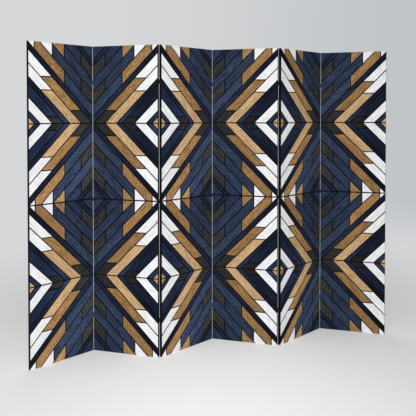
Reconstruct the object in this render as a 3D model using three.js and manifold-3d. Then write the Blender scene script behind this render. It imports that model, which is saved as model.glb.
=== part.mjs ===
// A folding screen of six printed canvas panels. Each panel is a wooden frame of two stiles and two rails
// inside a cloth cover, and three small butt hinges join it to the next panel. The hinges sit in front on the
// seams that point away from the viewer and behind on the seams that point towards the viewer, so the panels
// fold in a zigzag.
//
// Millimetres. +Z is up, -Y is the front, and the screen stands on z = 0. The origin is under the centre of
// the box that the zigzag fills, on the middle seam.

import * as THREE from 'three';
import { mergeVertices } from 'three/addons/utils/BufferGeometryUtils.js';
import Module from 'manifold-3d';

const wasm = await Module();
wasm.setup();

// ---- Driving dimensions ----

const PANEL_COUNT = 6;
const PANEL_WIDTH = 384; // one panel, across its cover
const PANEL_HEIGHT = 1700;
const PANEL_DEPTH = 18; // front of the print to the back of the cover
const REST_TURN = 30; // degrees each panel is turned from the line of the flat screen

const CLOTH_THICKNESS = 0.6;
const CLOTH_CLEARANCE = 0.3; // between the cloth and the bars
const STILE_WIDTH = 38;
const RAIL_WIDTH = 42;
const BAR_CLEARANCE = 0.3; // between a rail's end and the stile that it butts on

const SEAM_GAP = 2; // between the side edges of two panels that lie in one line
const HINGE_COUNT = 3; // on each seam
const HINGE_INSET = 200; // from the top or the bottom of a panel to its outer hinges' centres
const HINGE_HEIGHT = 25;
const MIDDLE_KNUCKLE_HEIGHT = 11;
const KNUCKLE_RADIUS = 2.4;
const PIN_RADIUS = 1.1;
const PIN_PROUD = 0.5; // how far the pin's axis stands in front of the panel's face
const RUNNING_CLEARANCE = 0.3; // round the pin, between knuckles, and round a knuckle in its nick
const LEAF_THICKNESS = 0.6;
const LEAF_REACH = 14.5; // how far a leaf goes back along the panel's side edge
const LEAF_CLEARANCE = 0.2; // between a leaf and the side edge that it lies on
const SCREW_HOLE_RADIUS = 1.4;
const SCREW_COUNT = 2; // in each leaf

const ROUND_SIDES = 12; // facets of a knuckle
const HOLE_SIDES = 8; // facets of a pin and a screw hole

// ---- Derived dimensions ----

const HALF_GAP = SEAM_GAP / 2;
const FRAME_INSET = CLOTH_THICKNESS + CLOTH_CLEARANCE; // from the cover's face to the bars
const BAR_DEPTH = PANEL_DEPTH - 2 * FRAME_INSET;
const RAIL_LENGTH = PANEL_WIDTH - 2 * (FRAME_INSET + STILE_WIDTH + BAR_CLEARANCE);
const NICK_RADIUS = KNUCKLE_RADIUS + RUNNING_CLEARANCE;
const NICK_HEIGHT = HINGE_HEIGHT + 2 * RUNNING_CLEARANCE;
const BORE_RADIUS = PIN_RADIUS + RUNNING_CLEARANCE;
const CUT_MARGIN = 1; // how far a cutting solid runs past what it cuts
const turn = THREE.MathUtils.degToRad(REST_TURN);

// ---- Finishes ----

const stainedWood = new THREE.MeshStandardMaterial({ color: '#2a2622', roughness: 0.7, metalness: 0 });
const canvas = new THREE.MeshStandardMaterial({ color: '#2b3a55', roughness: 0.85, metalness: 0 });
const navySteel = new THREE.MeshStandardMaterial({ color: '#333e54', roughness: 0.45, metalness: 0.2 });
const blackSteel = new THREE.MeshStandardMaterial({ color: '#1b1b1d', roughness: 0.45, metalness: 0.2 });

// ---- Solids ----

// A closed geometry as a solid that can be joined and cut.
function solid(geometry) {
  const points = geometry.clone();
  points.deleteAttribute('normal');
  points.deleteAttribute('uv');
  const merged = mergeVertices(points, 1e-4);
  return new wasm.Manifold(new wasm.Mesh({
    numProp: 3,
    vertProperties: new Float32Array(merged.attributes.position.array),
    triVerts: new Uint32Array(merged.index.array),
  }));
}

// A solid as a geometry again.
function geometryOf(body) {
  const mesh = body.getMesh();
  const geometry = new THREE.BufferGeometry();
  geometry.setAttribute('position', new THREE.BufferAttribute(new Float32Array(mesh.vertProperties), 3));
  geometry.setIndex(new THREE.BufferAttribute(new Uint32Array(mesh.triVerts), 1));
  geometry.computeVertexNormals();
  return geometry;
}

// A box between two corners.
function block([x0, y0, z0], [x1, y1, z1]) {
  const box = new THREE.BoxGeometry(x1 - x0, y1 - y0, z1 - z0);
  return solid(box.translate((x0 + x1) / 2, (y0 + y1) / 2, (z0 + z1) / 2));
}

// An upright round bar on the z axis, whose facets touch the radius from outside when it is a hole.
function upright(radius, sides, low, high, hole = false) {
  const reach = hole ? radius / Math.cos(Math.PI / sides) : radius;
  const bar = new THREE.CylinderGeometry(reach, reach, high - low, sides).rotateX(Math.PI / 2);
  return solid(bar.translate(0, 0, (low + high) / 2));
}

// ---- Panel: x runs from its left edge to its right edge, y from its front face to its back face ----

// The heights of the hinges' centres, from the top down.
const hingeHeights = Array.from({ length: HINGE_COUNT }, (_, i) => {
  const span = PANEL_HEIGHT - 2 * HINGE_INSET;
  return PANEL_HEIGHT - HINGE_INSET - span * i / Math.max(HINGE_COUNT - 1, 1);
});

// The seam to the right of panel number i has its hinges in front when i is even, counted from 0.
const hingesInFront = (seam) => seam % 2 === 0;

// The place of a seam's pin in the frame of the panel to its left or its right.
function pinPlace(seam, side) {
  const x = side === 'right' ? PANEL_WIDTH + HALF_GAP : -HALF_GAP;
  return [x, hingesInFront(seam) ? -PIN_PROUD : PANEL_DEPTH + PIN_PROUD];
}

// The nicks that the knuckles of a panel's two seams need in its corners.
function nicks(index) {
  const cuts = [];
  for (const [seam, side] of [[index - 1, 'left'], [index, 'right']]) {
    if (seam < 0 || seam >= PANEL_COUNT - 1) continue;
    const [x, y] = pinPlace(seam, side);
    for (const height of hingeHeights) {
      const low = [x - NICK_RADIUS, y - NICK_RADIUS, height - NICK_HEIGHT / 2];
      const high = [x + NICK_RADIUS, y + NICK_RADIUS, height + NICK_HEIGHT / 2];
      cuts.push(block(low, high));
    }
  }
  return cuts;
}

const cutBy = (body, cuts) => cuts.reduce((left, cut) => left.subtract(cut), body);

// The cloth goes once round the frame, as a sleeve that is open above and below.
function coverSolid(index) {
  const outside = block([0, 0, 0], [PANEL_WIDTH, PANEL_DEPTH, PANEL_HEIGHT]);
  const inside = block(
    [CLOTH_THICKNESS, CLOTH_THICKNESS, -CUT_MARGIN],
    [PANEL_WIDTH - CLOTH_THICKNESS, PANEL_DEPTH - CLOTH_THICKNESS, PANEL_HEIGHT + CUT_MARGIN],
  );
  return cutBy(outside.subtract(inside), nicks(index));
}

function stileSolid(index, side) {
  const x = side === 'left' ? FRAME_INSET : PANEL_WIDTH - FRAME_INSET - STILE_WIDTH;
  const bar = block([x, FRAME_INSET, 0], [x + STILE_WIDTH, FRAME_INSET + BAR_DEPTH, PANEL_HEIGHT]);
  return cutBy(bar, nicks(index));
}

function railSolid(end) {
  const x = (PANEL_WIDTH - RAIL_LENGTH) / 2;
  const z = end === 'top' ? PANEL_HEIGHT - RAIL_WIDTH : 0;
  return block([x, FRAME_INSET, z], [x + RAIL_LENGTH, FRAME_INSET + BAR_DEPTH, z + RAIL_WIDTH]);
}

// ---- Hinge: the pin's axis is the z axis, and the leaf goes back along +y on the side of +x ----

const middleLow = -MIDDLE_KNUCKLE_HEIGHT / 2;
const middleHigh = MIDDLE_KNUCKLE_HEIGHT / 2;
const leafLow = -HINGE_HEIGHT / 2;
const leafHigh = HINGE_HEIGHT / 2;
const leafFar = HALF_GAP - LEAF_CLEARANCE; // the leaf's face towards the panel, from the pin's axis
const leafNear = leafFar - LEAF_THICKNESS;
const leafStart = KNUCKLE_RADIUS + RUNNING_CLEARANCE; // behind the other leaf's knuckle

// The flat plate with its screw holes. Its tongues reach the knuckles between the given heights.
function plate(tongues) {
  let body = block([leafNear, leafStart, leafLow], [leafFar, LEAF_REACH, leafHigh]);
  for (const [low, high] of tongues) {
    body = body.add(block([leafNear, 0, low], [leafFar, leafStart + CUT_MARGIN, high]));
  }
  const y = (leafStart + LEAF_REACH) / 2;
  for (let i = 0; i < SCREW_COUNT; i += 1) {
    const z = leafLow + HINGE_HEIGHT * (i + 0.5) / SCREW_COUNT;
    const radius = SCREW_HOLE_RADIUS;
    const drill = new THREE.CylinderGeometry(radius, radius, 2 * SEAM_GAP, HOLE_SIDES);
    body = body.subtract(solid(drill.rotateZ(Math.PI / 2).translate(0, y, z)));
  }
  return body;
}

// The leaf that holds the pin: an outer knuckle above and below, and the pin between them.
function pinLeaf() {
  const outer = [[leafLow, middleLow - RUNNING_CLEARANCE], [middleHigh + RUNNING_CLEARANCE, leafHigh]];
  let body = plate(outer);
  for (const [low, high] of outer) body = body.add(upright(KNUCKLE_RADIUS, ROUND_SIDES, low, high));
  return body.add(upright(PIN_RADIUS, HOLE_SIDES, leafLow + CUT_MARGIN, leafHigh - CUT_MARGIN));
}

// The leaf that turns on the pin: one knuckle in the middle, with its bore.
function sleeveLeaf() {
  const knuckle = upright(KNUCKLE_RADIUS, ROUND_SIDES, middleLow, middleHigh);
  const bore = upright(BORE_RADIUS, ROUND_SIDES, middleLow - CUT_MARGIN, middleHigh + CUT_MARGIN, true);
  return plate([[middleLow, middleHigh]]).add(knuckle).subtract(bore);
}

// ---- Assembly ----

const screen = new THREE.Group();

function addMesh(group, name, body, material) {
  const mesh = new THREE.Mesh(geometryOf(body), material);
  mesh.name = name;
  group.add(mesh);
  return mesh;
}

// Each panel is turned about the pin that joins it to the panel on its left, and so the chain is followed
// from the first panel on. A point of panel i, in that panel's own frame, goes through placements[i].
function placementsOfPanels() {
  const places = [];
  for (let i = 0; i < PANEL_COUNT; i += 1) {
    const angle = i % 2 === 0 ? turn : -turn;
    const rotation = new THREE.Matrix4().makeRotationZ(angle);
    const pin = new THREE.Vector3();
    const own = new THREE.Vector3();
    if (i > 0) {
      pin.set(...pinPlace(i - 1, 'right'), 0).applyMatrix4(places[i - 1]);
      own.set(...pinPlace(i - 1, 'left'), 0);
    }
    const shift = pin.sub(own.applyMatrix4(rotation));
    places.push(new THREE.Matrix4().makeTranslation(shift.x, shift.y, 0).multiply(rotation));
  }
  return places;
}

const placements = placementsOfPanels();

// The box that the zigzag fills, seen from above, puts the origin under its centre.
function centreOfZigzag() {
  const box = new THREE.Box2();
  for (const place of placements) {
    for (const x of [0, PANEL_WIDTH]) {
      for (const y of [0, PANEL_DEPTH]) {
        const corner = new THREE.Vector3(x, y, 0).applyMatrix4(place);
        box.expandByPoint(new THREE.Vector2(corner.x, corner.y));
      }
    }
  }
  return box.getCenter(new THREE.Vector2());
}

const centre = centreOfZigzag();
screen.position.set(-centre.x, -centre.y, 0);

// A hinge leaf is turned half round for a seam whose hinges are behind, and mirrored for the panel on the
// seam's left.
function leafInPanel(body, seam, side, height) {
  const [x, y] = pinPlace(seam, side);
  const across = side === 'left' ? 1 : -1;
  const back = hingesInFront(seam) ? 1 : -1;
  return body.scale([across, back, 1]).translate([x, y, height]);
}

// The hinges in front are lacquered in the navy of the print, and those behind in black.
const lacquer = (seam) => (hingesInFront(seam) ? navySteel : blackSteel);
const hingeNames = ['top', 'middle', 'bottom'];
const hingeName = (row) => (HINGE_COUNT === hingeNames.length ? hingeNames[row] : `row_${row + 1}`);

for (let i = 0; i < PANEL_COUNT; i += 1) {
  const panel = new THREE.Group();
  panel.applyMatrix4(placements[i]);
  screen.add(panel);
  const name = `panel_${i + 1}`;
  for (const side of ['left', 'right']) {
    addMesh(panel, `${name}_${side}_stile`, stileSolid(i, side), stainedWood);
  }
  for (const end of ['top', 'bottom']) addMesh(panel, `${name}_${end}_rail`, railSolid(end), stainedWood);
  addMesh(panel, `${name}_canvas_cover`, coverSolid(i), canvas);
  hingeHeights.forEach((height, row) => {
    if (i < PANEL_COUNT - 1) {
      const leaf = leafInPanel(pinLeaf(), i, 'right', height);
      addMesh(panel, `seam_${i + 1}_${hingeName(row)}_pin_leaf`, leaf, lacquer(i));
    }
    if (i > 0) {
      const leaf = leafInPanel(sleeveLeaf(), i - 1, 'left', height);
      addMesh(panel, `seam_${i}_${hingeName(row)}_sleeve_leaf`, leaf, lacquer(i - 1));
    }
  });
}

export default screen;
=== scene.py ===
# %% [markdown]
# # A folding screen of six printed canvas panels
#
# The real screen is six flat panels, hinged edge to edge and standing in a zigzag. Each is a thin wooden
# frame in a cloth cover, printed with planks of wood in nested diamonds and black at its side edges. This
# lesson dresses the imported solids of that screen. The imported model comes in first, because every piece made
# here has to sit where its solid sits and move with the same body.

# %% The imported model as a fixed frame
import math
from functools import partial

import bmesh
import bpy
from mathutils import Matrix, Vector


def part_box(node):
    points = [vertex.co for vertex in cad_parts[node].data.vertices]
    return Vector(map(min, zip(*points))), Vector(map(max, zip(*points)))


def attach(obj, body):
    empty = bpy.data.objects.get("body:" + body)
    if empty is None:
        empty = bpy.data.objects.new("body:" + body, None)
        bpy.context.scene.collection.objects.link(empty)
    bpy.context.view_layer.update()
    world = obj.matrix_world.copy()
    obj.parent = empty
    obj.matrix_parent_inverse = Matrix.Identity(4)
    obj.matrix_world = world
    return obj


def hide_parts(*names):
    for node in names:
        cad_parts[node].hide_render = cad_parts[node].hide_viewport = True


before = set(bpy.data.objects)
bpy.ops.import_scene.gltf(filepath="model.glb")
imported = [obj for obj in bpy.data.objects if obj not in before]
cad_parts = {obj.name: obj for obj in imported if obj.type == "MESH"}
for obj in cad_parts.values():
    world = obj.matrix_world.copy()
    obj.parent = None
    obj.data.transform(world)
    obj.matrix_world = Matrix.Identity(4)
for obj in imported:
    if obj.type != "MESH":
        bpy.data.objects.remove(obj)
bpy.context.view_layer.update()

# %% [markdown]
# ## The measures of the screen
#
# A scene could read each place off the solids, but a panel stands turned by 30 degrees, and its box says
# little about the panel itself. The measures are repeated here instead, in metres, and each panel is worked
# out flat, from its left edge to its right edge (x), from its front to its back (y) and upwards (z).

# %% The measures, in metres
MM = 0.001
PANEL_COUNT = 6
PANEL_WIDTH = 384 * MM
PANEL_HEIGHT = 1700 * MM
PANEL_DEPTH = 18 * MM
REST_TURN = math.radians(30)
CLOTH_THICKNESS = 0.6 * MM
HALF_GAP = 1 * MM
HINGE_HEIGHTS = {"top": 1500 * MM, "middle": 850 * MM, "bottom": 200 * MM}
HINGE_HEIGHT = 25 * MM
KNUCKLE_RADIUS = 2.4 * MM
CLEARANCE = 0.3 * MM
PIN_RADIUS = 1.1 * MM
PIN_PROUD = 0.5 * MM
NICK_RADIUS = KNUCKLE_RADIUS + CLEARANCE
NICK_HALF_HEIGHT = HINGE_HEIGHT / 2 + CLEARANCE
PANELS = range(PANEL_COUNT)
SEAMS = range(PANEL_COUNT - 1)
print("panels:", PANEL_COUNT, "of", PANEL_WIDTH, "by", PANEL_HEIGHT, "m")

# %% [markdown]
# ## Where each panel stands
#
# The panels are joined at the pins of their hinges, so the zigzag is a chain: each panel is turned about the
# pin that joins it to the one before. Following the chain keeps the pins of two panels exactly on each
# other, which typed-in places would not. The hinges are in front on the first, third and fifth seam and
# behind on the others.

# %% The chain of panels
def hinges_in_front(seam):
    return seam % 2 == 0


def pin_place(seam, side):
    """The pin of a seam, seen from the panel to its left (its right side) or to its right (its left side)."""
    x = PANEL_WIDTH + HALF_GAP if side == "right" else -HALF_GAP
    return Vector((x, -PIN_PROUD if hinges_in_front(seam) else PANEL_DEPTH + PIN_PROUD, 0))


def seams_of(i):
    """The seams that panel i shares with its neighbours, each with the side of the panel it is on."""
    return [(seam, side) for seam, side in ((i - 1, "left"), (i, "right")) if seam in SEAMS]


def follow_chain():
    places = []
    for i in PANELS:
        turned = Matrix.Rotation(REST_TURN if i % 2 == 0 else -REST_TURN, 4, "Z")
        shift = places[-1] @ pin_place(i - 1, "right") - turned @ pin_place(i - 1, "left") if i else Vector()
        places.append(Matrix.Translation(shift) @ turned)
    corners = [p @ Vector((x, y, 0)) for p in places for x in (0, PANEL_WIDTH) for y in (0, PANEL_DEPTH)]
    middle = Vector([(min(c[k] for c in corners) + max(c[k] for c in corners)) / 2 for k in (0, 1)] + [0])
    return [Matrix.Translation(-middle) @ p for p in places]


places = follow_chain()
low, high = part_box("panel_1_canvas_cover")
print("panel 1 starts at", places[0] @ Vector((0, 0, 0)), "and its solid at", low, high)

# %% [markdown]
# ## The camera
#
# The photograph looks at the screen from the front and a little from the left, from the height of a
# person's chest, with the upright edges all but parallel. Such a picture comes from a level camera whose
# frame is moved down. Other views keep that shift, and a large one cuts off the top of the screen, so this
# camera looks down by a degree or so and its frame is moved less. The lens is a normal 50 mm one.

# %% The camera of the photograph
CAMERA_TILT = 1.3  # degrees down from level
CAMERA_TURN = 14.223  # degrees to the right of straight ahead

camera_data = bpy.data.cameras.new("camera")
camera_data.sensor_width = 36
camera_data.lens = 50.98
camera_data.shift_y = -0.1911
camera = bpy.data.objects.new("camera", camera_data)
camera.location = (-0.8720, -3.2498, 1.3194)
camera.rotation_euler = (math.radians(90 - CAMERA_TILT), 0, math.radians(-CAMERA_TURN))
bpy.context.scene.collection.objects.link(camera)
bpy.context.scene.camera = camera
print("camera:", tuple(camera.location), "lens:", camera_data.lens)

# %% [markdown]
# ## Colours and nodes
#
# A colour is read off a swatch as a hex value, but the shaders count in linear light. One function does the
# turning. Another adds a node to a material, with its settings and what goes into it, so that a finish
# reads as a list of steps.

# %% Helpers for materials
NOISE_RANGE = {"From Min": 0.3, "From Max": 0.7}  # nearly all values of a noise lie between these


def linear(hex_colour):
    """An sRGB colour such as "2b3a55" as linear RGBA, by the standard curve."""
    parts = [int(hex_colour[k:k + 2], 16) / 255 for k in (0, 2, 4)]
    return tuple(c / 12.92 if c <= 0.04045 else ((c + 0.055) / 1.055) ** 2.4 for c in parts) + (1,)


def add_node(material, kind, inputs=None, **settings):
    """Adds a node with its settings. An input is a value, a node, or a node and one of its outputs."""
    node = material.node_tree.nodes.new("ShaderNode" + kind)
    for name, value in settings.items():
        setattr(node, name, value)
    for socket, value in (inputs or {}).items():
        if isinstance(value, bpy.types.Node):
            value = (value, 0)
        if isinstance(value, tuple) and isinstance(value[0], bpy.types.Node):
            material.node_tree.links.new(value[0].outputs[value[1]], node.inputs[socket])
        else:
            node.inputs[socket].default_value = value
    return node


def new_material(name):
    """A new material, and add_node made ready to add to it."""
    material = bpy.data.materials.new(name)
    material.use_nodes = True
    material.node_tree.nodes.clear()
    return material, partial(add_node, material)


def finish_material(material, shader):
    add_node(material, "OutputMaterial", {"Surface": shader})
    print(material.name, "has", len(material.node_tree.nodes), "nodes")
    return material


def wave_scale(period):
    """The scale at which the bands of a Wave Texture come about this far apart."""
    return 1 / (math.pi * period)


# %% [markdown]
# ## The print: planks in nested diamonds
#
# The picture on the cloth looks like thin planks of wood, laid in diamonds round a point on a panel's edge.
# It could be painted as an image, but every line of it follows one rule, so it is better worked out. A
# point lies at u from the edge with the diamonds' centres and at v above or below the nearest centre. Along
# a plank v plus u stays the same, so that sum, s, numbers the rings of planks. A ring is cut into pieces by
# level or upright lines, and each piece has its own stain: navy, tan, white or charcoal.
#
# The table gives, for each ring, where it ends, its first and second cut, its stain before, between and
# after the cuts, and how much a dark piece fades to a lighter navy on its way from the edge. The last
# column is the ring's strength, how much its dark stains are deepened or lifted. It has four values,
# because planks that slope up to the right are drawn brighter than those that slope down, and every other
# panel differs by painted sheen, which lifts the dark pieces of the panels seen at a slant: odd panels
# above and below a centre, then even panels above and below a centre.

# %% The table of rings, in millimetres
RINGS = [
    (34.5, None, None, "c09c6f", None, None, 0, (1, 1, 1, 1)),
    (67, None, None, "24324d", None, None, 0, (1, 0.95, 0.85, 1.1)),
    (137, None, None, "ededef", None, None, 0, (1, 1, 1, 1)),
    (208, 36, None, "181818", "151d30", None, 0.95, (1.65, 1.6, 0.85, 0.85)),
    (243, None, None, "111726", None, None, 1.6, (1.25, 1.4, 1.02, 0.7)),
    (313.5, 176, None, "be9e75", "ededef", None, 0, (1.15, 1.5, 1.15, 1.05)),
    (382.5, 70, 246, "2a2a2a", "8f6d45", "ededef", 0, (1.35, 1.55, 1.1, 1)),
    (420, None, None, "111726", None, None, 1, (0.78, 1.12, 1.0, 0.58)),
    (490, 33.5, 207.5, "ededef", "927049", "303c51", 0, (1.05, 1.5, 1.12, 1)),
    (559, 137, 310, "ededef", "2a354a", "343333", 0, (1, 1.6, 1.03, 1)),
    (630, 207.5, None, "967751", "2d384e", None, 0, (0.95, 1.75, 1.05, 1.06)),
    (700, 310, None, "273147", "323231", None, 0, (1.1, 1.57, 1.03, 1.08)),
    (735, None, None, "1c2436", None, None, 0, (1, 0.95, 1.15, 0.87)),
    (810.5, None, None, "252f45", None, None, 0, (1.35, 1.1, 1.17, 1.12)),
]
LEVEL_CUTS_END = 0.420  # the rings inside this one are cut by level lines, the others by upright ones
LOWER_CENTRE = 0.4295  # the heights of the diamonds' centres: the lower ones are printed a little high
UPPER_CENTRE = 1.275
MIDDLE_HEIGHT = 0.8525  # where the lower half of the print ends and the upper one starts
SLANT = 1.006  # rise of a plank for each metre across
DIAGONAL = 1.418  # how much s grows for each metre straight across the planks
REACH = 0.82  # a ramp spans this many metres of rings
NO_CUT = 0.9  # metres, past the end of every plank
print("rings:", len(RINGS))

# %% [markdown]
# ## Printed canvas, the layout
#
# The cloth is cotton canvas with a plain weave, primed and printed, so it is matt, and its threads show as
# a fine relief. A colour ramp with sharp steps is a good table for a shader, so the rings become six of
# them: three for the stains, one for the cuts, one for where each ring starts and ends, and one for its
# strengths.

# %% Ramps that hold the table
def ring_ramp(add, position, column):
    """A ramp with one sharp step for each ring. column turns a ring and its start into a colour."""
    ramp = add("ValToRGB", {"Fac": position})
    ramp.color_ramp.interpolation = "CONSTANT"
    start = 0
    for ring in RINGS:
        stops = ramp.color_ramp.elements
        stop = stops[0] if start == 0 else stops.new(start * MM / REACH)
        stop.color = column(ring, start)
        start = ring[0]
    ramp.color_ramp.elements.remove(ramp.color_ramp.elements[-1])
    return ramp


def stain(ring, piece):
    """The stain of a ring's first, second or third piece. A missing piece takes the one before it."""
    return linear([hex_colour for hex_colour in ring[3:4 + piece] if hex_colour][-1])


def metres(cut):
    return NO_CUT if cut is None else cut * MM


def print_layout(add):
    """Where a point of the cloth lies in the print. Its quarter of the height is 0 to 3, from the floor."""
    uv = add("UVMap", uv_map="cloth")
    split = add("SeparateXYZ", {0: uv})
    u, height = (split, "X"), (split, "Y")
    upper = add("Math", {0: height, 1: MIDDLE_HEIGHT}, operation="GREATER_THAN")
    centre = add("Mix", {0: upper, 2: LOWER_CENTRE, 3: UPPER_CENTRE}, data_type="FLOAT")
    rise = add("Math", {0: height, 1: centre}, operation="SUBTRACT")
    above = add("Math", {0: rise, 1: 0}, operation="GREATER_THAN")
    v = add("Math", {0: rise}, operation="ABSOLUTE")
    s = add("Math", {0: u, 1: SLANT, 2: v}, operation="MULTIPLY_ADD")
    position = add("Math", {0: s, 1: REACH}, operation="DIVIDE")
    quarter = add("Math", {0: upper, 1: 2, 2: above}, operation="MULTIPLY_ADD")
    cuts = ring_ramp(add, position, lambda ring, start: (metres(ring[1]), metres(ring[2]), ring[6], 1))
    ends = ring_ramp(add, position, lambda ring, start: (start * MM, ring[0] * MM, 0, 1))
    upright = add("Math", {0: s, 1: LEVEL_CUTS_END}, operation="GREATER_THAN")
    return {
        "uv": uv, "u": u, "v": v, "s": s, "height": height, "above": above, "position": position,
        "quarter": quarter,
        "along": add("Mix", {0: upright, 2: v, 3: u}, data_type="FLOAT"),
        "cuts": add("SeparateColor", {0: cuts}),
        "ends": add("SeparateColor", {0: ends}),
        "panel": (add("Attribute", attribute_name="panel"), "Fac"),
    }


# %% [markdown]
# ## Printed canvas, the outlines
#
# The planks' outlines are printed too, as thin dark lines. At each point the shader works out how far it is
# to the nearest line, and a point closer than half a line's width is dark. The lines are drawn about twice
# as wide as the real ones, so that they show at the photograph's scale. The black of a panel's side edges
# also comes a little way round onto its faces.

# %% The outlines
OUTLINE = 6 * MM
CENTRE_LINE = 6.5 * MM
MIDDLE_LINE = 7.5 * MM
EDGE_WRAP = 1.5 * MM
LINE_SOFTNESS = 0.12  # of a line's width


def outline_mask(add, at):
    """1 on the printed lines between the planks and 0 on the planks."""
    inner = add("Math", {0: at["s"], 1: (at["ends"], 0)}, operation="SUBTRACT")
    outer = add("Math", {0: (at["ends"], 1), 1: at["s"]}, operation="SUBTRACT")
    across = add("Math", {0: inner, 1: outer}, operation="MINIMUM")
    distances = [add("Math", {0: across, 1: DIAGONAL}, operation="DIVIDE")]
    for channel in (0, 1):
        gap = add("Math", {0: at["along"], 1: (at["cuts"], channel)}, operation="SUBTRACT")
        distances.append(add("Math", {0: gap}, operation="ABSOLUTE"))
    # A line with its own width counts as nearer or farther by half of what it differs.
    gap = add("Math", {0: at["height"], 1: MIDDLE_HEIGHT}, operation="SUBTRACT")
    middle = add("Math", {0: gap}, operation="ABSOLUTE")
    for line, width in ((at["v"], CENTRE_LINE), (middle, MIDDLE_LINE), (at["u"], 2 * EDGE_WRAP)):
        distances.append(add("Math", {0: line, 1: (OUTLINE - width) / 2}, operation="ADD"))
    nearest = distances[0]
    for distance in distances[1:]:
        nearest = add("Math", {0: nearest, 1: distance}, operation="MINIMUM")
    return add(
        "MapRange",
        {"Value": nearest, "From Min": (0.5 - LINE_SOFTNESS) * OUTLINE,
         "From Max": (0.5 + LINE_SOFTNESS) * OUTLINE, "To Min": 1, "To Max": 0},
        interpolation_type="SMOOTHSTEP",
    )


# %% [markdown]
# ## Printed canvas, the stains
#
# Each point takes the stain of its piece of a ring. A dark stain is then made stronger or weaker by the
# ring's strength, which holds painted sheen that differs from odd to even panels, and dark pieces get
# lighter away from the diamonds' edge. White stays as it is.

# %% The stains
DARK_STAIN = 0.03  # a stain this dark takes the ring's strength in full
PALE_STAIN = 0.6  # and one this light takes none of it
FADE_START = 0.06  # metres from the diamonds' edge
FADE_END = 0.26
PIECE_SEED = 7.3  # the seeds are arbitrary, and keep any two planks from sharing a tone
RING_SEED = 91.7
PANEL_SEED = 13.1


def stains(add, at):
    """The colour of each piece of a ring, and a number for the piece."""
    ramps = [
        ring_ramp(add, at["position"], lambda ring, start, piece=piece: stain(ring, piece))
        for piece in range(3)
    ]
    colour = ramps[0]
    number = at["quarter"]
    for channel in (0, 1):
        beyond = add("Math", {0: at["along"], 1: (at["cuts"], channel)}, operation="GREATER_THAN")
        colour = add("MixRGB", {0: beyond, 1: colour, 2: ramps[channel + 1]})
        number = add(
            "Math", {0: beyond, 1: PIECE_SEED * (channel + 1), 2: number}, operation="MULTIPLY_ADD",
        )
    return colour, number


def ring_strength_with_painted_sheen(add, at):
    """A ring's strength, for odd and even panels, above and below a centre. The odd and even values differ by
    painted sheen.
    """
    ramp = ring_ramp(add, at["position"], lambda ring, start: [value / 2 for value in ring[7]])
    split = add("SeparateColor", {0: ramp})
    odd = add("Mix", {0: at["above"], 2: (split, 1), 3: (split, 0)}, data_type="FLOAT")
    even = add("Mix", {0: at["above"], 2: (ramp, "Alpha"), 3: (split, 2)}, data_type="FLOAT")
    # Odd and even panels differ here by painted sheen.
    is_even = add("Math", {0: at["panel"], 1: 2}, operation="FLOORED_MODULO")
    half = add("Mix", {0: is_even, 2: odd, 3: even}, data_type="FLOAT")
    return add("Math", {0: half, 1: 2}, operation="MULTIPLY")


def light_stains(add, at, colour):
    """The stains with each ring's strength, which holds painted sheen, and how dark each was, from 0 to 1."""
    brightness = add("RGBToBW", {0: colour})
    darkness = add(
        "MapRange",
        {"Value": brightness, "From Min": DARK_STAIN, "From Max": PALE_STAIN, "To Min": 1, "To Max": 0},
    )
    # The strength holds painted sheen, different on odd and even panels.
    strength = ring_strength_with_painted_sheen(add, at)
    strength = add("Math", {0: strength, 1: darkness}, operation="POWER")
    colour = add("VectorMath", {0: colour, 3: strength}, operation="SCALE")
    fade = add(
        "MapRange",
        {"Value": at["u"], "From Min": FADE_START, "From Max": FADE_END, "To Min": 0, "To Max": 2},
        interpolation_type="SMOOTHSTEP",
    )
    fade = add("Math", {0: fade, 1: (at["cuts"], 2), 2: 1}, operation="MULTIPLY_ADD")
    return add("VectorMath", {0: colour, 3: fade}, operation="SCALE"), darkness


# %% [markdown]
# ## Printed canvas, the grain and the weave
#
# The stains alone would look flat. On the real cloth each plank is a little lighter or darker than its
# neighbour and full of grain. A noise stretched along the planks gives the streaks, a finer and even one
# the speckle, and white noise each plank's tone. Grain and speckle are drawn coarser than real ones, so
# that they show at the photograph's scale. Two sets of waves, one across and one up, make the threads.

# %% Grain and weave
GRAIN_ACROSS = 5.5 * MM
GRAIN_ALONG = 60 * MM
SPECKLE = 4.5 * MM
SPECKLE_SHARE = 1.7  # parts of speckle for one part of streaks
GRAIN_LOW, GRAIN_HIGH = 1.06, 1.71  # nearly all of the two together lies between these
GRAIN_DARKEST, GRAIN_LIGHTEST = 0.36, 1.8  # what they make of a stain
TONE_DARKEST, TONE_LIGHTEST = 0.94, 1.06
PALE_GRAIN = 0.25  # a pale stain hides the rest of the grain
THREAD = 0.8 * MM  # the real threads are about this far apart
WEAVE_DEPTH = 0.15 * MM
CANVAS_SHINE = 0.08


def plank_tone(add, at, number):
    """A little light or shade for each plank. Also gives the plank's own number."""
    seed = add("Math", {0: (at["ends"], 0), 1: RING_SEED, 2: number}, operation="MULTIPLY_ADD")
    seed = add("Math", {0: at["panel"], 1: PANEL_SEED, 2: seed}, operation="MULTIPLY_ADD")
    noise = add("TexWhiteNoise", {"W": seed}, noise_dimensions="1D")
    tone = add(
        "MapRange",
        {"Value": (noise, "Value"), "From Min": 0, "From Max": 1, "To Min": TONE_DARKEST,
         "To Max": TONE_LIGHTEST},
    )
    return tone, seed


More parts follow.
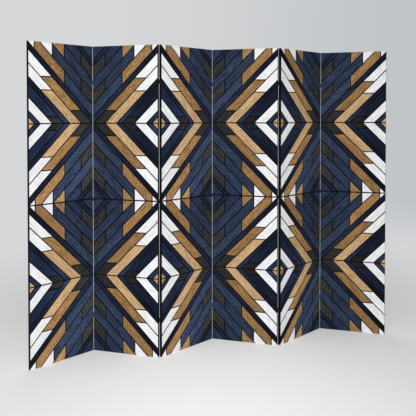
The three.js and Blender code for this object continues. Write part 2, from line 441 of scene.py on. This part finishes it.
def wood_grain(add, at, seed):
    """The light and shade of streaks and speckle, different on each plank."""
    run = add("Math", {0: at["u"], 1: at["v"]}, operation="SUBTRACT")
    across = add("Math", {0: at["s"], 1: DIAGONAL * GRAIN_ACROSS}, operation="DIVIDE")
    along = add("Math", {0: run, 1: DIAGONAL * GRAIN_ALONG}, operation="DIVIDE")
    plank_place = add("CombineXYZ", {0: across, 1: along, 2: seed})
    streaks = add("TexNoise", {"Vector": plank_place, "Scale": 1, "Detail": 1, "Roughness": 0.5})
    cloth_place = add("CombineXYZ", {0: at["u"], 1: at["height"], 2: seed})
    speckle = add("TexNoise", {"Vector": cloth_place, "Scale": 1 / SPECKLE, "Detail": 1, "Roughness": 0.5})
    both = add("Math", {0: (speckle, 0), 1: SPECKLE_SHARE, 2: (streaks, 0)}, operation="MULTIPLY_ADD")
    return add(
        "MapRange",
        {"Value": both, "From Min": GRAIN_LOW, "From Max": GRAIN_HIGH, "To Min": GRAIN_DARKEST,
         "To Max": GRAIN_LIGHTEST},
    )


def canvas_shader(add, uv, colour, roughness):
    """Matt cloth with its threads in relief. Each wave is a thread over and a thread under."""
    warp, weft = (
        add("TexWave", {"Vector": uv, "Scale": wave_scale(2 * THREAD)}, bands_direction=way)
        for way in "XY"
    )
    weave = add("Math", {0: (warp, 1), 1: (weft, 1)}, operation="ADD")
    relief = add("Bump", {"Height": weave, "Strength": 0.35, "Distance": WEAVE_DEPTH})
    return add(
        "BsdfPrincipled",
        {"Base Color": colour, "Roughness": roughness, "Specular IOR Level": CANVAS_SHINE, "Normal": relief},
    )


# %% The printed canvas
def printed_canvas(name):
    material, add = new_material(name)
    at = print_layout(add)
    colour, number = stains(add, at)
    colour, darkness = light_stains(add, at, colour)
    tone, seed = plank_tone(add, at, number)
    grain = wood_grain(add, at, seed)
    light = add("Math", {0: grain, 1: tone}, operation="MULTIPLY")
    grained = add("VectorMath", {0: colour, 3: light}, operation="SCALE")
    share = add(
        "MapRange", {"Value": darkness, "From Min": 0, "From Max": 1, "To Min": PALE_GRAIN, "To Max": 1},
    )
    wood = add("MixRGB", {0: share, 1: colour, 2: grained})
    drawn = add("MixRGB", {0: outline_mask(add, at), 1: wood, 2: linear("07080b")})
    return finish_material(material, canvas_shader(add, at["uv"], drawn, 0.8))


canvas_print = printed_canvas("printed_cotton_canvas")

# %% [markdown]
# ## Black and unbleached canvas
#
# The side edges are the same canvas, dyed black, and the inside of the cover is the cloth as it was woven,
# a warm off-white. Neither is printed, but dye and raw cotton are never quite even, so both get a soft
# mottle in spots of about 6 mm, and the same threads as the print.

# %% The plain canvases
def plain_canvas(name, hex_colour, roughness):
    material, add = new_material(name)
    uv = add("UVMap", uv_map="cloth")
    mottle = add("TexNoise", {"Vector": uv, "Scale": 1 / (6 * MM), "Detail": 3})
    light = add("MapRange", {"Value": (mottle, 0), **NOISE_RANGE, "To Min": 0.75, "To Max": 1.25})
    colour = add("VectorMath", {0: linear(hex_colour)[:3], 3: light}, operation="SCALE")
    return finish_material(material, canvas_shader(add, uv, colour, roughness))


canvas_edge = plain_canvas("black_dyed_canvas", "0e0e10", 0.8)
canvas_inside = plain_canvas("unbleached_cotton_canvas", "d8cfbd", 0.9)

# %% [markdown]
# ## Working on a mesh by hand
#
# The pieces are modelled with the same operators that a person uses in the window: add a box, pick some
# faces or edges, bevel, cut, delete. Only the picking is different, because there is no mouse. A small test
# says which faces or edges are meant, by their place or their direction.

# %% Helpers for modelling
def select_only(*pieces):
    """Selects these pieces and nothing else. The first one is the active piece."""
    bpy.ops.object.select_all(action="DESELECT")
    for piece in pieces:
        piece.select_set(True)
    bpy.context.view_layer.objects.active = pieces[0]


def add_box(name, low, high):
    """A box between two corners, with its place in its mesh."""
    bpy.ops.object.select_all(action="DESELECT")
    low, high = Vector(low), Vector(high)
    bpy.ops.mesh.primitive_cube_add(size=1, location=(low + high) / 2)
    box = bpy.context.object
    box.scale = high - low
    bpy.ops.object.transform_apply(location=True, rotation=True, scale=True)
    box.name = box.data.name = name
    return box


def edit(piece):
    """Opens a piece in edit mode, and nothing else."""
    select_only(piece)
    bpy.ops.object.mode_set(mode="EDIT")


def close():
    bpy.ops.object.mode_set(mode="OBJECT")


def pick(piece, kind, test):
    """Selects the faces or edges of the open piece that pass the test, and no others."""
    bpy.ops.mesh.select_mode(type=kind)
    bpy.ops.mesh.select_all(action="DESELECT")
    mesh = bmesh.from_edit_mesh(piece.data)
    for part in mesh.faces if kind == "FACE" else mesh.edges:
        if test(part):
            part.select_set(True)
    mesh.select_flush_mode()
    bmesh.update_edit_mesh(piece.data)


def cut_across(place, normal):
    """Cuts the open piece all through, along a plane."""
    bpy.ops.mesh.select_all(action="SELECT")
    bpy.ops.mesh.bisect(plane_co=place, plane_no=normal)


def runs_along(edge, axis):
    direction = (edge.verts[1].co - edge.verts[0].co).normalized()
    return abs(direction[axis]) > 0.99


def middle_of(part):
    return sum((v.co for v in part.verts), Vector()) / len(part.verts)


def copy_of(piece, name):
    twin = piece.copy()
    twin.data = piece.data.copy()
    twin.name = twin.data.name = name
    bpy.context.scene.collection.objects.link(twin)
    return twin


def set_down(piece, place):
    """Moves a piece's mesh to its place. A mirrored mesh would be inside out, so it is turned out again."""
    piece.data.transform(place)
    if place.determinant() < 0:
        piece.data.flip_normals()
    piece.data.update()


def shade_smooth(piece, degrees):
    """Smooth shading, apart from edges sharper than this."""
    select_only(piece)
    bpy.ops.object.shade_smooth_by_angle(angle=math.radians(degrees))


# %% [markdown]
# ## The canvas cover
#
# On the real panel one piece of canvas is stretched round the frame, so it is a flat sleeve with tight
# folds at its long edges. It could be a box, but then its folds would be knife sharp and it would be closed
# above and below. Here a box loses its ends, its long edges get a small round fold, and it is cut across
# beside each hinge, so that the nicks for the knuckles can be taken out of it later.

# %% The blank sleeve
FOLD_RADIUS = 0.4 * MM
FOLD_STEPS = 3
SWELL = 0.5 * MM  # how far the side cloth stands out between the hinges
SWELL_START = NICK_HALF_HEIGHT + 15 * MM
NICK_FRONT = NICK_RADIUS - HALF_GAP  # how far a nick reaches in from the side, on the face
NICK_SIDE = NICK_RADIUS - PIN_PROUD  # how far a nick reaches back from the face, on the side


def blank_sleeve():
    sleeve = add_box("sleeve", (0, 0, 0), (PANEL_WIDTH, PANEL_DEPTH, PANEL_HEIGHT))
    edit(sleeve)
    pick(sleeve, "FACE", lambda face: abs(face.normal.z) > 0.5)
    bpy.ops.mesh.delete(type="ONLY_FACE")
    pick(sleeve, "EDGE", lambda edge: runs_along(edge, 2))
    bpy.ops.mesh.bevel(offset=FOLD_RADIUS, segments=FOLD_STEPS, profile=0.5)
    for height in HINGE_HEIGHTS.values():
        for end in (-SWELL_START, -NICK_HALF_HEIGHT, NICK_HALF_HEIGHT, SWELL_START):
            cut_across((0, 0, height + end), (0, 0, 1))
    for depth in (NICK_SIDE, PANEL_DEPTH - NICK_SIDE):
        cut_across((0, depth, 0), (0, 1, 0))
    for across in (NICK_FRONT, PANEL_WIDTH - NICK_FRONT):
        cut_across((across, 0, 0), (1, 0, 0))
    close()
    return sleeve


sleeve = blank_sleeve()
print("blank sleeve:", len(sleeve.data.polygons), "faces")

# %% [markdown]
# ## One cover for each panel
#
# The sleeve is copied six times, and loses the faces where a knuckle stands in its corner. A panel's
# diamonds have their centres on one of its long edges: the outer one on the end panels, and the one at a
# seam with its hinges behind on the others. The cloth map holds, in metres, how far a point is from that
# edge and how high it is, so the weave and the print have real sizes on it. Where two panels meet, the
# folded cloth swells a little between the hinges, since nothing presses it flat there. Last, a Solidify
# modifier gives the cloth its thickness, to the inside, with the unbleached back of the cloth on the inner
# side.

# %% Nicks, swell and map of a cover
def nick_corners(i):
    """The corners of panel i, as (x, y) of the panel's box, that have nicks for hinges."""
    return [
        (0 if side == "left" else PANEL_WIDTH, 0 if hinges_in_front(seam) else PANEL_DEPTH)
        for seam, side in seams_of(i)
    ]


def near_hinge(height, reach):
    return any(abs(height - hinge) < reach for hinge in HINGE_HEIGHTS.values())


def in_nick(face, corners):
    middle = middle_of(face)
    return near_hinge(middle.z, NICK_HALF_HEIGHT) and any(
        abs(middle.x - x) < NICK_FRONT and abs(middle.y - y) < NICK_SIDE for x, y in corners
    )


def swell_sides(cover, i):
    """Between the hinges the folded cloth swells a little from the stile. The leaves press it flat."""
    side_edge = 1.1 * FOLD_RADIUS
    for vertex in cover.data.vertices:
        if near_hinge(vertex.co.z, SWELL_START - MM):
            continue
        if vertex.co.x < side_edge and i > 0:
            vertex.co.x -= SWELL
        if vertex.co.x > PANEL_WIDTH - side_edge and i < PANEL_COUNT - 1:
            vertex.co.x += SWELL


def map_cloth(cover, i):
    """Writes the cloth map: metres from the diamonds' edge, along the cloth, and metres above the floor."""
    while cover.data.uv_layers:
        cover.data.uv_layers.remove(cover.data.uv_layers[0])
    cloth = cover.data.uv_layers.new(name="cloth")
    for loop in cover.data.loops:
        x, y, z = cover.data.vertices[loop.vertex_index].co
        from_edge = x if i % 2 == 0 else PANEL_WIDTH - x
        round_side = min(max(y, 0), max(PANEL_DEPTH - y, 0))
        if from_edge < PANEL_WIDTH / 2:
            round_side = -round_side
        cloth.data[loop.index].uv = (from_edge + round_side, z)
    number = cover.data.attributes.new("panel", "FLOAT", "FACE")
    for face in cover.data.polygons:
        number.data[face.index].value = i


# %% The six covers
def cover_panel(i):
    cover = copy_of(sleeve, f"panel_{i + 1}_cover")
    corners = nick_corners(i)
    edit(cover)
    pick(cover, "FACE", lambda face: in_nick(face, corners))
    bpy.ops.mesh.delete(type="FACE")
    close()
    # Solidify gives the inner side the material two slots further on.
    for material in (canvas_print, canvas_edge, canvas_inside, canvas_inside):
        cover.data.materials.append(material)
    for face in cover.data.polygons:
        face.material_index = 0 if abs(face.normal.y) > 0.999 else 1
    map_cloth(cover, i)
    swell_sides(cover, i)
    wall = cover.modifiers.new("thickness", "SOLIDIFY")
    wall.thickness = CLOTH_THICKNESS
    wall.offset = -1
    wall.use_even_offset = True
    wall.material_offset = 2
    wall.material_offset_rim = 2
    select_only(cover)
    bpy.ops.object.modifier_apply(modifier=wall.name)
    shade_smooth(cover, 30)
    set_down(cover, places[i])
    return cover


covers = [cover_panel(i) for i in PANELS]
bpy.data.objects.remove(sleeve)
for i, cover in enumerate(covers):
    name = f"panel_{i + 1}"
    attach(cover, name)
    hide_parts(f"{name}_canvas_cover")
    print(cover.name, len(cover.data.polygons), "faces")

# %% [markdown]
# ## Stained pine
#
# The frame's bars are planed pine, stained black so that no pale wood flashes at a seam. They show only at
# their ends and in the nicks. Stain goes deep into soft early wood and lies thin on the hard lines, so the
# grain stays visible as brown in the black. The bars' solids have the right shape and stay. Their pattern
# is a set of rings round a line along the bar, which gives streaks along it and arcs at its ends. The rails
# lie along the panel, which is turned, so each turn needs its own mapping.

# %% Stained pine, one for upright bars and one for each turn of the rails
GROWTH_RING = 6 * MM
PORE = 1.2 * MM
ALONG_THE_BAR = 0.04  # the pattern is drawn out along the bar by shrinking its coordinate to this
STAIN_DARK, STAIN_LIGHT = "16130f", "3d3128"


def stained_pine(name, turn):
    """turn brings the wood's pith upright: None for an upright bar, else the panel's turn about z."""
    material, add = new_material(name)
    place = add("TexCoord")
    if turn is None:
        pith = add("Mapping", {"Vector": (place, "Object"), "Scale": (1, 1, ALONG_THE_BAR)})
    else:
        level = add("Mapping", {"Vector": (place, "Object"), "Rotation": (0, 0, -turn)})
        pith = add(
            "Mapping",
            {"Vector": level, "Rotation": (0, math.radians(90), 0), "Scale": (1, 1, ALONG_THE_BAR)},
        )
    rings = add(
        "TexWave",
        {"Vector": pith, "Scale": wave_scale(GROWTH_RING), "Distortion": 3, "Detail": 2, "Detail Scale": 0.6},
        wave_type="RINGS", rings_direction="Z",
    )
    pores = add("TexNoise", {"Vector": pith, "Scale": 1 / PORE, "Detail": 4, "Roughness": 0.65})
    wood = add("Math", {0: (rings, 1), 1: (pores, 0)}, operation="MULTIPLY")
    colour = add("ValToRGB", {"Fac": wood})
    colour.color_ramp.elements[0].color = linear(STAIN_DARK)
    colour.color_ramp.elements[1].color = linear(STAIN_LIGHT)
    colour.color_ramp.elements[1].position = 0.7
    relief = add("Bump", {"Height": wood, "Strength": 0.3, "Distance": 0.2 * MM})
    roughness = add("MapRange", {"Value": (pores, 0), **NOISE_RANGE, "To Min": 0.5, "To Max": 0.7})
    shader = add("BsdfPrincipled", {"Base Color": colour, "Roughness": roughness, "Normal": relief})
    return finish_material(material, shader)


upright_pine = stained_pine("black_stained_pine_upright", None)
level_pine = [
    stained_pine("black_stained_pine_turned_left", REST_TURN),
    stained_pine("black_stained_pine_turned_right", -REST_TURN),
]
for i in PANELS:
    for bar, wood in (("left_stile", upright_pine), ("right_stile", upright_pine),
                      ("top_rail", level_pine[i % 2]), ("bottom_rail", level_pine[i % 2])):
        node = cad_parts[f"panel_{i + 1}_{bar}"]
        node.data.materials.clear()
        node.data.materials.append(wood)
print("bars:", 4 * PANEL_COUNT)

# %% [markdown]
# ## Lacquered steel and bare screws
#
# The hinges are rolled and stamped from thin steel and lacquered. Those in front are navy like the print
# round them, so that they do not show, and those behind are black. Lacquer fills the steel's fine scratches
# and leaves a soft ripple, so the gloss is a half gloss, and it is a plain dielectric coat with no metal in
# its colour. The screws are bare zinc-plated steel, a pale grey metal with fine scratches.

# %% Lacquered and zinc-plated steel
RIPPLE = 1.5 * MM
SPECK = 0.4 * MM
SCRATCH = 0.3 * MM


def lacquered_steel(name, hex_colour):
    material, add = new_material(name)
    place = add("TexCoord")
    ripple = add("TexNoise", {"Vector": (place, "Object"), "Scale": 1 / RIPPLE, "Detail": 3})
    specks = add("TexNoise", {"Vector": (place, "Object"), "Scale": 1 / SPECK, "Detail": 2})
    light = add("MapRange", {"Value": (ripple, 0), **NOISE_RANGE, "To Min": 0.85, "To Max": 1.2})
    colour = add("VectorMath", {0: linear(hex_colour)[:3], 3: light}, operation="SCALE")
    roughness = add("MapRange", {"Value": (specks, 0), **NOISE_RANGE, "To Min": 0.35, "To Max": 0.5})
    relief = add("Bump", {"Height": (ripple, 0), "Strength": 0.15, "Distance": 0.05 * MM})
    shader = add(
        "BsdfPrincipled",
        {"Base Color": colour, "Roughness": roughness, "Specular IOR Level": 0.2, "Normal": relief},
    )
    return finish_material(material, shader)


def zinc_plated_steel(name):
    material, add = new_material(name)
    place = add("TexCoord")
    scratches = add("TexNoise", {"Vector": (place, "Object"), "Scale": 1 / SCRATCH, "Detail": 4})
    colour = add("ValToRGB", {"Fac": (scratches, 0)})
    colour.color_ramp.elements[0].color = linear("8d8f90")
    colour.color_ramp.elements[1].color = linear("b9bbba")
    roughness = add("MapRange", {"Value": (scratches, 0), **NOISE_RANGE, "To Min": 0.25, "To Max": 0.45})
    shader = add("BsdfPrincipled", {"Base Color": colour, "Metallic": 1, "Roughness": roughness})
    return finish_material(material, shader)


front_lacquer = lacquered_steel("navy_lacquered_steel", "262f45")
back_lacquer = lacquered_steel("black_lacquered_steel", "0b0b0c")
screw_steel = zinc_plated_steel("zinc_plated_steel")

# %% [markdown]
# ## The hinge leaves
#
# A small butt hinge has two leaves. One carries the outer knuckles with the pin riveted in them, and the
# other has one knuckle in the middle, which turns on the pin. Each leaf is modelled once, with the pin on
# the z axis and the plate going back from it: a plate with rounded far corners, its knuckles joined on, and
# two countersunk holes cut out. Booleans suit this, because a knuckle's round wall runs into a flat plate.
# They are not exact on parts this small, so the leaves and the screws are modelled with a metre for a
# millimetre, and shrunk when they are put in their places. Then every edge gets a small bevel, as stamped
# and lacquered steel has.

# %% Leaf sizes, in millimetres, and helpers that join and cut
LEAF_NEAR = 0.2  # a leaf's two faces, measured across from the pin's axis
LEAF_FAR = 0.8
LEAF_REACH = 14.5
KNUCKLE = KNUCKLE_RADIUS / MM
PIN = PIN_RADIUS / MM
RUNNING_GAP = CLEARANCE / MM
LEAF_START = KNUCKLE + RUNNING_GAP
MIDDLE_HALF = 5.5  # half the middle knuckle's height
LEAF_HALF = HINGE_HEIGHT / MM / 2
CORNER_RADIUS = 2
SCREW_Y = (LEAF_START + LEAF_REACH) / 2
SCREW_HEIGHTS = (-6.25, 6.25)
HOLE_RADIUS = 1.4
SINK_RADIUS = 2
EASE = 0.12
OVERLAP = 1  # parts that are joined reach this far into each other
CUT_MARGIN = 0.1  # a cut starts this far outside
ROUND_SIDES = 32


def combine(piece, tool, how):
    """Joins the tool to the piece, or cuts it out, and takes the tool away."""
    work = piece.modifiers.new("work", "BOOLEAN")
    work.operation = how
    work.solver = "EXACT"
    work.object = tool
    select_only(piece)
    bpy.ops.object.modifier_apply(modifier=work.name)
    bpy.data.objects.remove(tool)


def add_round(radius, low, high, top_radius=None, sides=ROUND_SIDES):
    """An upright round bar on the z axis, or a cone if it has another radius above."""
    bpy.ops.object.select_all(action="DESELECT")
    bpy.ops.mesh.primitive_cone_add(
        vertices=sides, radius1=radius, radius2=radius if top_radius is None else top_radius,
        depth=high - low, location=(0, 0, (low + high) / 2),
    )
    bpy.ops.object.transform_apply(location=True, rotation=True, scale=True)
    return bpy.context.object


def ease_edges(piece, width):
    """A small bevel on every sharp edge, and smooth shading."""
    ease = piece.modifiers.new("ease", "BEVEL")
    ease.width = width
    ease.segments = 2
    ease.limit_method = "ANGLE"
    ease.angle_limit = math.radians(40)
    select_only(piece)
    bpy.ops.object.modifier_apply(modifier=ease.name)
    shade_smooth(piece, 35)


# %% The two leaves
def leaf_plate(tongues):
    """The flat plate, with tongues to the knuckles at the given heights and two countersunk holes."""
    plate = add_box("plate", (LEAF_NEAR, LEAF_START, -LEAF_HALF), (LEAF_FAR, LEAF_REACH, LEAF_HALF))
    edit(plate)
    pick(plate, "EDGE", lambda edge: runs_along(edge, 0) and middle_of(edge).y > SCREW_Y)
    bpy.ops.mesh.bevel(offset=CORNER_RADIUS, segments=6, profile=0.5)
    close()
    for low, high in tongues:
        tongue = add_box("tongue", (LEAF_NEAR, 0, low), (LEAF_FAR, LEAF_START + OVERLAP, high))
        combine(plate, tongue, "UNION")
    lie_down = Matrix.Rotation(math.radians(90), 4, "Y")
    for height in SCREW_HEIGHTS:
        for radius, end in ((HOLE_RADIUS, LEAF_FAR + OVERLAP), (SINK_RADIUS, LEAF_FAR - CUT_MARGIN)):
            drill = add_round(radius, LEAF_NEAR - CUT_MARGIN, end, top_radius=HOLE_RADIUS)
            drill.data.transform(Matrix.Translation((0, SCREW_Y, height)) @ lie_down)
            combine(plate, drill, "DIFFERENCE")
    return plate


def pin_leaf():
    outer = [(-LEAF_HALF, -MIDDLE_HALF - RUNNING_GAP), (MIDDLE_HALF + RUNNING_GAP, LEAF_HALF)]
    leaf = leaf_plate(outer)
    for low, high in outer:
        combine(leaf, add_round(KNUCKLE, low, high), "UNION")
    combine(leaf, add_round(PIN, -LEAF_HALF - CUT_MARGIN, LEAF_HALF + CUT_MARGIN), "UNION")
    ease_edges(leaf, EASE)
    return leaf


def sleeve_leaf():
    leaf = leaf_plate([(-MIDDLE_HALF, MIDDLE_HALF)])
    combine(leaf, add_round(KNUCKLE, -MIDDLE_HALF, MIDDLE_HALF), "UNION")
    combine(leaf, add_round(PIN + RUNNING_GAP, -MIDDLE_HALF - OVERLAP, MIDDLE_HALF + OVERLAP), "DIFFERENCE")
    ease_edges(leaf, EASE)
    return leaf


leaf_models = {"pin": pin_leaf(), "sleeve": sleeve_leaf()}
for kind, model in leaf_models.items():
    print(kind, "leaf:", len(model.data.polygons), "faces")

# %% [markdown]
# ## Thirty leaves on fifteen hinges
#
# Each seam has three hinges, with the pins on the panel to its left. The two models suit a panel to the
# right of a seam with its hinges in front, so a copy for the left panel is mirrored across, and a copy for
# a seam with its hinges behind is mirrored from front to back.

# %% The thirty leaves
def leaf_place(seam, side, height):
    """Where a leaf or a screw model goes, for the given side of the panel that it is on."""
    i = seam if side == "right" else seam + 1
    pin = Matrix.Translation(pin_place(seam, side) + Vector((0, 0, height)))
    flip = Matrix.Diagonal((1 if side == "left" else -1, 1 if hinges_in_front(seam) else -1, 1, 1))
    return places[i] @ pin @ flip @ Matrix.Scale(MM, 4)


def set_leaves(seam):
    for row, height in HINGE_HEIGHTS.items():
        for kind, side in (("pin", "right"), ("sleeve", "left")):
            node = f"seam_{seam + 1}_{row}_{kind}_leaf"
            leaf = copy_of(leaf_models[kind], f"{node}_steel")
            leaf.data.materials.clear()
            leaf.data.materials.append(front_lacquer if hinges_in_front(seam) else back_lacquer)
            set_down(leaf, leaf_place(seam, side, height))
            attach(leaf, f"panel_{seam + (1 if side == 'right' else 2)}")
            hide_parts(node)


for seam in SEAMS:
    set_leaves(seam)
print("leaves:", 2 * len(HINGE_HEIGHTS) * len(SEAMS))

# %% [markdown]
# ## The wood screws
#
# Two countersunk screws hold each leaf. A screw is a round bar with a cone under its head, a shank that
# goes into the stile, and a point. It is drawn out of one disc: the lower face is pulled down and narrowed,
# again and again, as on a lathe. A cross recess is cut in the head by two bars that narrow downwards.

# %% One screw, in millimetres
HEAD_RADIUS = 1.75
HEAD_RIM = 0.1
HEAD_DEPTH = 0.6
SHANK_RADIUS = 1.2
SHANK_LENGTH = 9
SHANK_TAPER = 0.9
POINT_LENGTH = 2
POINT_TAPER = 0.1
CROSS_HALF_LENGTH = 1.1
CROSS_HALF_WIDTH = 0.22
CROSS_DEPTH = 0.6
CROSS_ABOVE = 0.2  # the two bars that cut the cross start this far above the head
CROSS_TAPER = (0.3, 0.6, 1)


def draw_out(length, scale):
    """Pulls the picked lower face down and narrows it."""
    bpy.ops.mesh.extrude_region_move(TRANSFORM_OT_translate={"value": (0, 0, -length)})
    bpy.ops.transform.resize(value=(scale, scale, 1))


def points_down(face):
    return face.normal.z < -0.9


def wood_screw():
    """The screw stands upright with its head's face at z = 0."""
    screw = add_round(HEAD_RADIUS, -HEAD_RIM, 0, sides=20)
    edit(screw)
    pick(screw, "FACE", points_down)
    draw_out(HEAD_DEPTH, SHANK_RADIUS / HEAD_RADIUS)
    draw_out(SHANK_LENGTH, SHANK_TAPER)
    draw_out(POINT_LENGTH, POINT_TAPER)
    close()
    for angle in (0, math.radians(90)):
        corner = Vector((CROSS_HALF_LENGTH, CROSS_HALF_WIDTH, 0))
        bar = add_box("cross", -corner - Vector((0, 0, CROSS_DEPTH)), corner + Vector((0, 0, CROSS_ABOVE)))
        edit(bar)
        pick(bar, "FACE", points_down)
        bpy.ops.transform.resize(value=CROSS_TAPER)
        close()
        bar.data.transform(Matrix.Rotation(angle, 4, "Z"))
        combine(screw, bar, "DIFFERENCE")
    shade_smooth(screw, 35)
    return screw


screw_model = wood_screw()
print("screw:", len(screw_model.data.polygons), "faces")

# %% [markdown]
# ## A set of screws for each panel
#
# The screws lie across the panel, with their heads just under the leaf's face towards the seam. Their
# crosses stand at different angles, as on work done by hand. The screws of one panel never move against
# each other, so they are joined into one piece.

# %% The screws of each panel
HEAD_SUNK = 0.03  # millimetres under the leaf's face
FIRST_CROSS = 17  # degrees
NEXT_CROSS = 31


def screws_of(i):
    lie_down = Matrix.Rotation(math.radians(-90), 4, "Y")
    screws = []
    for seam, side in seams_of(i):
        for row, height in HINGE_HEIGHTS.items():
            for k, offset in enumerate(SCREW_HEIGHTS):
                screw = copy_of(screw_model, f"screw_{seam}_{row}_{k}")
                degrees = FIRST_CROSS + NEXT_CROSS * (k + 2 * len(screws))
                turned = Matrix.Rotation(math.radians(degrees), 4, "Z")
                sunk = Matrix.Translation((LEAF_NEAR + HEAD_SUNK, SCREW_Y, offset))
                set_down(screw, leaf_place(seam, side, height) @ sunk @ lie_down @ turned)
                screws.append(screw)
    select_only(*screws)
    bpy.ops.object.join()
    joined = bpy.context.object
    joined.name = joined.data.name = f"panel_{i + 1}_screws"
    joined.data.materials.clear()
    joined.data.materials.append(screw_steel)
    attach(joined, f"panel_{i + 1}")
    return joined


screw_sets = [screws_of(i) for i in PANELS]
for model in (*leaf_models.values(), screw_model):
    bpy.data.objects.remove(model)
print("screws:", [len(screws.data.polygons) for screws in screw_sets])

# %% [markdown]
# ## The studio
#
# The photograph has a pale grey studio with soft light from the front. The floor is a round sheet of matt
# paper whose far edge melts into the background. The photograph's floor is brightest in front of the screen
# and gets greyer all round that place, so the sheet has a glow that is strongest there. The background is
# the world's own colour for what the camera sees, with painted shade that darkens it to the right. A large
# lamp stands far in front, so that near and far panels get nearly the same light, and two more hang over
# the floor before and behind the screen.

# %% The floor
FLOOR_RADIUS = 3.2
FLOOR_CLEAR = 1.3  # the floor starts to melt into the background here
GLOW_CENTRE = (-0.2, -0.75, 0)
GLOW_REACH = 1.9
GLOW_BRIGHT, GLOW_DIM = 0.45, 0.2


def studio_floor():
    bpy.ops.object.select_all(action="DESELECT")
    bpy.ops.mesh.primitive_circle_add(vertices=96, radius=FLOOR_RADIUS, fill_type="NGON")
    floor = bpy.context.object
    floor.name = "floor"
    material, add = new_material("studio_paper")
    place = add("TexCoord")
    centre = add("VectorMath", {0: (place, "Object")}, operation="LENGTH")
    edge = add(
        "MapRange",
        {"Value": (centre, "Value"), "From Min": FLOOR_CLEAR, "From Max": FLOOR_RADIUS, "To Min": 0,
         "To Max": 1},
        interpolation_type="SMOOTHSTEP",
    )
    away = add("VectorMath", {0: (place, "Object"), 1: GLOW_CENTRE}, operation="DISTANCE")
    glow = add(
        "MapRange",
        {"Value": (away, "Value"), "From Min": 0, "From Max": GLOW_REACH, "To Min": GLOW_BRIGHT,
         "To Max": GLOW_DIM},
        interpolation_type="SMOOTHSTEP",
    )
    paper = add(
        "BsdfPrincipled",
        {"Base Color": linear("c9c9c9"), "Roughness": 0.9, "Emission Color": (1, 1, 1, 1),
         "Emission Strength": glow},
    )
    clear = add("BsdfTransparent")
    both = add("MixShader", {0: edge, 1: paper, 2: clear})
    floor.data.materials.append(finish_material(material, both))


studio_floor()


# %% The background
# The right-hand grey is painted shade.
WALL_LEFT, WALL_RIGHT_SHADED = "d6d7d9", "bfc3c6"


def studio_world():
    """A wall with painted shade that darkens it to the right, less so near the floor, and an even light for
    everything else.
    """
    world = bpy.data.worlds.new("studio")
    bpy.context.scene.world = world
    world.use_nodes = True
    world.node_tree.nodes.clear()
    add = partial(add_node, world)
    rays = add("LightPath")
    place = add("TexCoord")
    split = add("SeparateXYZ", {0: (place, "Generated")})
    # Painted shade: how far the wall turns to the right-hand grey.
    side = add(
        "MapRange", {"Value": (split, "X"), "From Min": 0.05, "From Max": 0.65, "To Min": 0, "To Max": 1},
        interpolation_type="SMOOTHSTEP",
    )
    low = add(
        "MapRange",
        {"Value": (split, "Z"), "From Min": -0.21, "From Max": -0.13, "To Min": 0.2, "To Max": 1},
        interpolation_type="SMOOTHSTEP",
    )
    side = add("Math", {0: side, 1: low}, operation="MULTIPLY")
    wall = add("MixRGB", {0: side, 1: linear(WALL_LEFT), 2: linear(WALL_RIGHT_SHADED)})
    seen = (rays, "Is Camera Ray")
    for ray in ("Is Glossy Ray", "Is Transmission Ray"):
        seen = add("Math", {0: seen, 1: (rays, ray)}, operation="MAXIMUM")
    light = add("Background", {"Color": (1, 1, 1, 1), "Strength": 0.45})
    view = add("Background", {"Color": wall, "Strength": 1})
    both = add("MixShader", {0: seen, 1: light, 2: view})
    add("OutputWorld", {"Surface": both})
    print("world:", len(world.node_tree.nodes), "nodes")


studio_world()


# %% The lamps
def add_lamp(name, place, target, size, power):
    """A round lamp that points at its target and isn't seen itself. Power is in watts."""
    lamp = bpy.data.lights.new(name, "AREA")
    lamp.shape = "DISK"
    lamp.size = size
    lamp.energy = power
    holder = bpy.data.objects.new(name, lamp)
    holder.location = place
    holder.rotation_euler = (Vector(target) - Vector(place)).to_track_quat("-Z", "Y").to_euler()
    holder.visible_camera = False
    bpy.context.scene.collection.objects.link(holder)
    print(name, "at", place, "with", power, "W")


add_lamp("key", place=(-1.25, -3.9, 1.2), target=(-1.0, 0, 0.95), size=1.6, power=62)
add_lamp("front_floor_light", place=(-0.9, -2.4, 3.2), target=(-0.9, -1.2, 0), size=2, power=32)
add_lamp("back_floor_light", place=(0, 2.6, 3.5), target=(0, 2.2, 0), size=3, power=28)
bpy.context.scene.view_settings.view_transform = "Standard"
